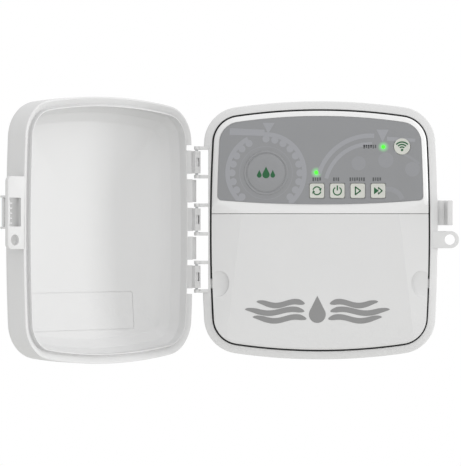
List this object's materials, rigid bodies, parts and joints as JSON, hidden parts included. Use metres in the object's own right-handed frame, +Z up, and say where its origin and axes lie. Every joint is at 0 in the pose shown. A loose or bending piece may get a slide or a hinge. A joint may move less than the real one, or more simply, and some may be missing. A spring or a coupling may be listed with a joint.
{
  "type": "irrigation controller",
  "caption": "Wall-mounted outdoor irrigation controller with a hinged door, push-button panel, light pipes and a wiring bay under a pull-off cover.",
  "frame": {"origin": "centre of the flat back face, where it meets the wall", "axes": "+X to the right seen from the front, +Z up the wall, and the panel faces -Y; +Y points into the wall"},
  "size_m": [0.3445, 0.2165, 0.2],
  "materials": {
    "case_plastic": "moulded white ABS, fine satin texture",
    "panel_plastic": "moulded white ABS, satin",
    "cover_plastic": "moulded white ABS, satin",
    "door_plastic": "moulded white ABS, satin",
    "latch_plastic": "moulded white acetal",
    "label_print": "screen-printed polycarbonate label, fine matt",
    "badge_print": "printed and embossed polycarbonate",
    "button_plastic": "moulded warm grey keys, satin",
    "green_lens": "lit green acrylic light pipe",
    "board_green": "solder-masked glass epoxy",
    "chip_black": "moulded epoxy package",
    "led_package": "surface-mount LED package",
    "shield_can": "tinned steel shield",
    "capacitor_sleeve": "shrunk sleeve",
    "arrestor_body": "lacquered ceramic",
    "terminal_plastic": "moulded polyamide",
    "screw_steel": "zinc-plated steel",
    "core_steel": "varnished steel laminations",
    "coil_tape": "taped copper winding",
    "mains_plastic": "moulded polyamide",
    "grommet_rubber": "moulded rubber",
    "plug_plastic": "moulded polyethylene",
    "pin_steel": "stainless steel pin"
  },
  "bodies": {
    "enclosure": {"enclosure_base": "case_plastic", "facia_bezel": "panel_plastic", "facia_overlay": "label_print", "badge_disc": "badge_print", "auto_lens": "green_lens", "status_lens": "green_lens", "control_board": "board_green", "tact_switches": "chip_black", "led_chips": "led_package", "processor_chip": "chip_black", "wifi_module": "shield_can", "output_triacs": "chip_black", "filter_capacitors": "capacitor_sleeve", "surge_arrestors": "arrestor_body", "terminal_block": "terminal_plastic", "terminal_screws": "screw_steel", "board_screws": "screw_steel", "electronics_back_cover": "case_plastic", "back_cover_screws": "screw_steel", "facia_screws": "screw_steel", "transformer_core": "core_steel", "transformer_coil": "coil_tape", "transformer_screws": "screw_steel", "mains_terminal_block": "mains_plastic", "mains_terminal_screws": "screw_steel", "mains_grommet": "grommet_rubber", "spare_entry_plug": "plug_plastic"},
    "door": {"door_shell": "door_plastic", "door_hinge_pins": "pin_steel", "latch_pin": "pin_steel"},
    "latch": {"door_latch": "latch_plastic"},
    "bay_cover": {"lower_cover": "cover_plastic"},
    "auto_key": {"auto_button": "button_plastic"},
    "off_key": {"off_button": "button_plastic"},
    "manual_key": {"manual_button": "button_plastic"},
    "next_key": {"next_button": "button_plastic"},
    "wifi_key": {"wifi_button": "button_plastic"}
  },
  "joints": [
    {"name": "door_hinge", "type": "hinge", "parent": "enclosure", "child": "door", "pos_m": [-0.0954, -0.065, 0], "axis": [0, 0, -1], "range_deg": [-131.6, 48.4]},
    {"name": "latch_pivot", "type": "hinge", "parent": "door", "child": "latch", "pos_m": [-0.23383, -0.21008, 0.0131], "axis": [0, 0, -1], "range_deg": [0, 25], "stiffness_Nm_per_rad": 0.05, "springref_deg": -5.73},
    {"name": "bay_cover_pull", "type": "slide", "parent": "enclosure", "child": "bay_cover", "axis": [0, -1, 0], "range_m": [0, 0.06]},
    {"name": "auto_press", "type": "slide", "parent": "enclosure", "child": "auto_key", "axis": [0, 1, 0], "range_m": [0, 0.0008], "stiffness_N_per_m": 1500, "springref_m": -0.0002},
    {"name": "off_press", "type": "slide", "parent": "enclosure", "child": "off_key", "axis": [0, 1, 0], "range_m": [0, 0.0008], "stiffness_N_per_m": 1500, "springref_m": -0.0002},
    {"name": "manual_press", "type": "slide", "parent": "enclosure", "child": "manual_key", "axis": [0, 1, 0], "range_m": [0, 0.0008], "stiffness_N_per_m": 1500, "springref_m": -0.0002},
    {"name": "next_press", "type": "slide", "parent": "enclosure", "child": "next_key", "axis": [0, 1, 0], "range_m": [0, 0.0008], "stiffness_N_per_m": 1500, "springref_m": -0.0002},
    {"name": "wifi_press", "type": "slide", "parent": "enclosure", "child": "wifi_key", "axis": [0, 1, 0], "range_m": [0, 0.0008], "stiffness_N_per_m": 1500, "springref_m": -0.0002}
  ]
}
